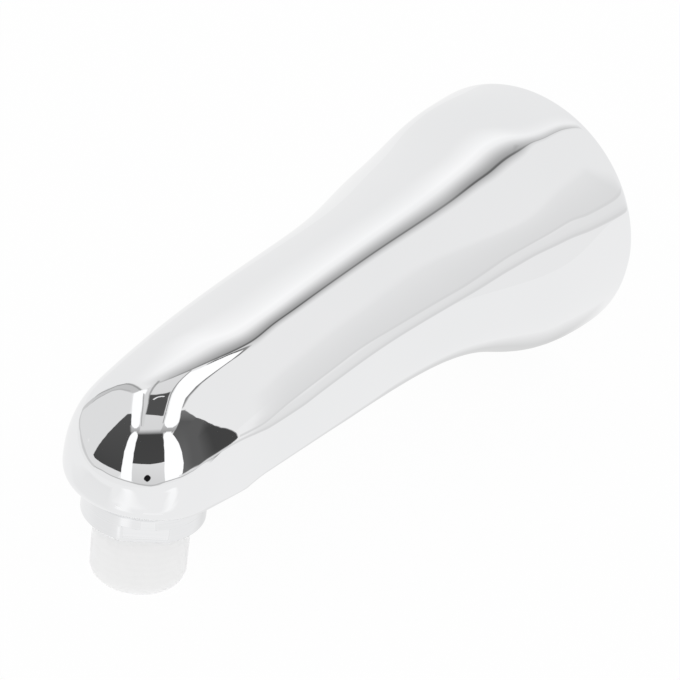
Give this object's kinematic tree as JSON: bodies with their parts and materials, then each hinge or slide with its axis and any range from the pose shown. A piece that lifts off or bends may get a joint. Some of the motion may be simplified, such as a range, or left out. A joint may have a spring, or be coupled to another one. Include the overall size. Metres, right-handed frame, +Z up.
{
  "type": "bath spout",
  "caption": "Chrome bath spout with a flared round wall end, a waisted body, a round nose and a threaded outlet pointing down under a pushed-on plastic cap.",
  "frame": {"origin": "centre of the wall rim, on the inlet axis, in the plane of the wall", "axes": "+Y into the wall along the inlet axis, the spout runs along -Y, +Z up, the outlet points along -Z"},
  "size_m": [0.07, 0.1776, 0.0703],
  "materials": {
    "chrome_casting": "polished bright chrome plate on a brass casting",
    "chrome_nipple": "bright chrome plate on turned brass",
    "cap_polyethylene": "milky translucent polyethylene, slightly waxy",
    "bush_brass": "turned, unplated",
    "seal_rubber": "matt black"
  },
  "bodies": {
    "root": {"spout_body": "chrome_casting", "outlet_nipple": "chrome_nipple", "thread_cap": "cap_polyethylene", "inlet_bush": "bush_brass", "inlet_o_ring": "seal_rubber", "outlet_gasket": "seal_rubber"}
  },
  "joints": []
}
